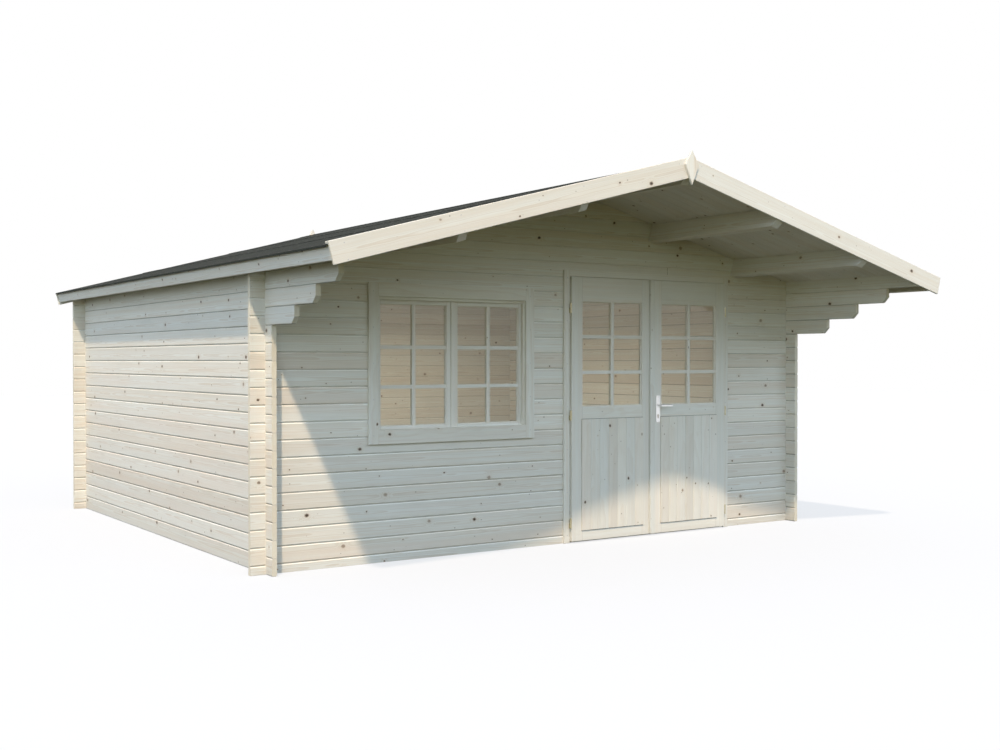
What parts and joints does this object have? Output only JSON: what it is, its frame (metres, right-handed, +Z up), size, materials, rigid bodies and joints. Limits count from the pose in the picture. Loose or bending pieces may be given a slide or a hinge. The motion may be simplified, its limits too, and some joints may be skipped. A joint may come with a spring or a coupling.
{
  "type": "guest cabin",
  "caption": "Log guest cabin with crossed corners, low gable roof with a deep front canopy, two-sash window and glazed double door that opens outwards.",
  "frame": {"origin": "on the ground, under the middle of the roof's bounding box", "axes": "+Z up; the front wall with the door faces -Y and the ridge runs along Y; +X to the right as seen from the front"},
  "size_m": [5.2256, 5.792, 2.745],
  "materials": {
    "log_timber": "planed bare spruce logs with knots",
    "trim_timber": "planed bare spruce boards",
    "roof_timber": "planed bare spruce boards and purlins",
    "joinery_timber": "smooth bare spruce joinery",
    "floor_timber": "bare tongue and groove boards",
    "roof_felt": "mineral-surfaced bitumen felt",
    "clear_glass": "clear float glass",
    "hinge_metal": "brass-plated barrel hinges",
    "lock_metal": "satin silver lock plates and levers"
  },
  "bodies": {
    "cabin": {"left_wall": "log_timber", "left_bracket_logs": "log_timber", "left_wall_plate": "log_timber", "right_wall": "log_timber", "right_bracket_logs": "log_timber", "right_wall_plate": "log_timber", "front_wall_left": "log_timber", "front_wall_below_window": "log_timber", "front_wall_above_window": "log_timber", "front_wall_middle": "log_timber", "front_wall_right": "log_timber", "front_gable": "log_timber", "back_wall": "log_timber", "back_gable": "log_timber", "ridge_purlin": "roof_timber", "left_purlins": "roof_timber", "right_purlins": "roof_timber", "left_roof_boards": "roof_timber", "right_roof_boards": "roof_timber", "left_roof_felt": "roof_felt", "right_roof_felt": "roof_felt", "left_eave_board": "trim_timber", "right_eave_board": "trim_timber", "front_left_gable_board": "trim_timber", "front_right_gable_board": "trim_timber", "back_left_gable_board": "trim_timber", "back_right_gable_board": "trim_timber", "front_cover_strips": "trim_timber", "ridge_diamonds": "trim_timber", "floor_boards": "floor_timber", "window_side_frames": "joinery_timber", "window_head": "joinery_timber", "window_sill": "joinery_timber", "window_sashes": "joinery_timber", "window_glass": "clear_glass", "door_left_frame": "joinery_timber", "door_right_frame": "joinery_timber", "door_head": "joinery_timber", "door_threshold": "joinery_timber", "door_hinge_pins": "hinge_metal"},
    "left_leaf": {"left_leaf_frame": "joinery_timber", "left_leaf_glass": "clear_glass", "left_leaf_panel": "joinery_timber", "left_leaf_hinges": "hinge_metal"},
    "right_leaf": {"right_leaf_frame": "joinery_timber", "right_leaf_glass": "clear_glass", "right_leaf_panel": "joinery_timber", "right_leaf_hinges": "hinge_metal", "leaf_cover_strip": "joinery_timber", "lock_plates": "lock_metal"},
    "lever": {"lever_handles": "lock_metal"}
  },
  "joints": [
    {"name": "left_leaf_hinge", "type": "hinge", "parent": "cabin", "child": "left_leaf", "pos_m": [0.025, -1.551, 1], "axis": [0, 0, -1], "range_deg": [0, 120]},
    {"name": "right_leaf_hinge", "type": "hinge", "parent": "cabin", "child": "right_leaf", "pos_m": [1.611, -1.551, 1], "axis": [0, 0, 1], "range_deg": [0, 120]},
    {"name": "lever_turn", "type": "hinge", "parent": "right_leaf", "child": "lever", "pos_m": [0.877, -1.535, 1.017], "axis": [0, 1, 0], "range_deg": [0, 40], "stiffness_Nm_per_rad": 1.5, "springref_deg": -17.19}
  ]
}
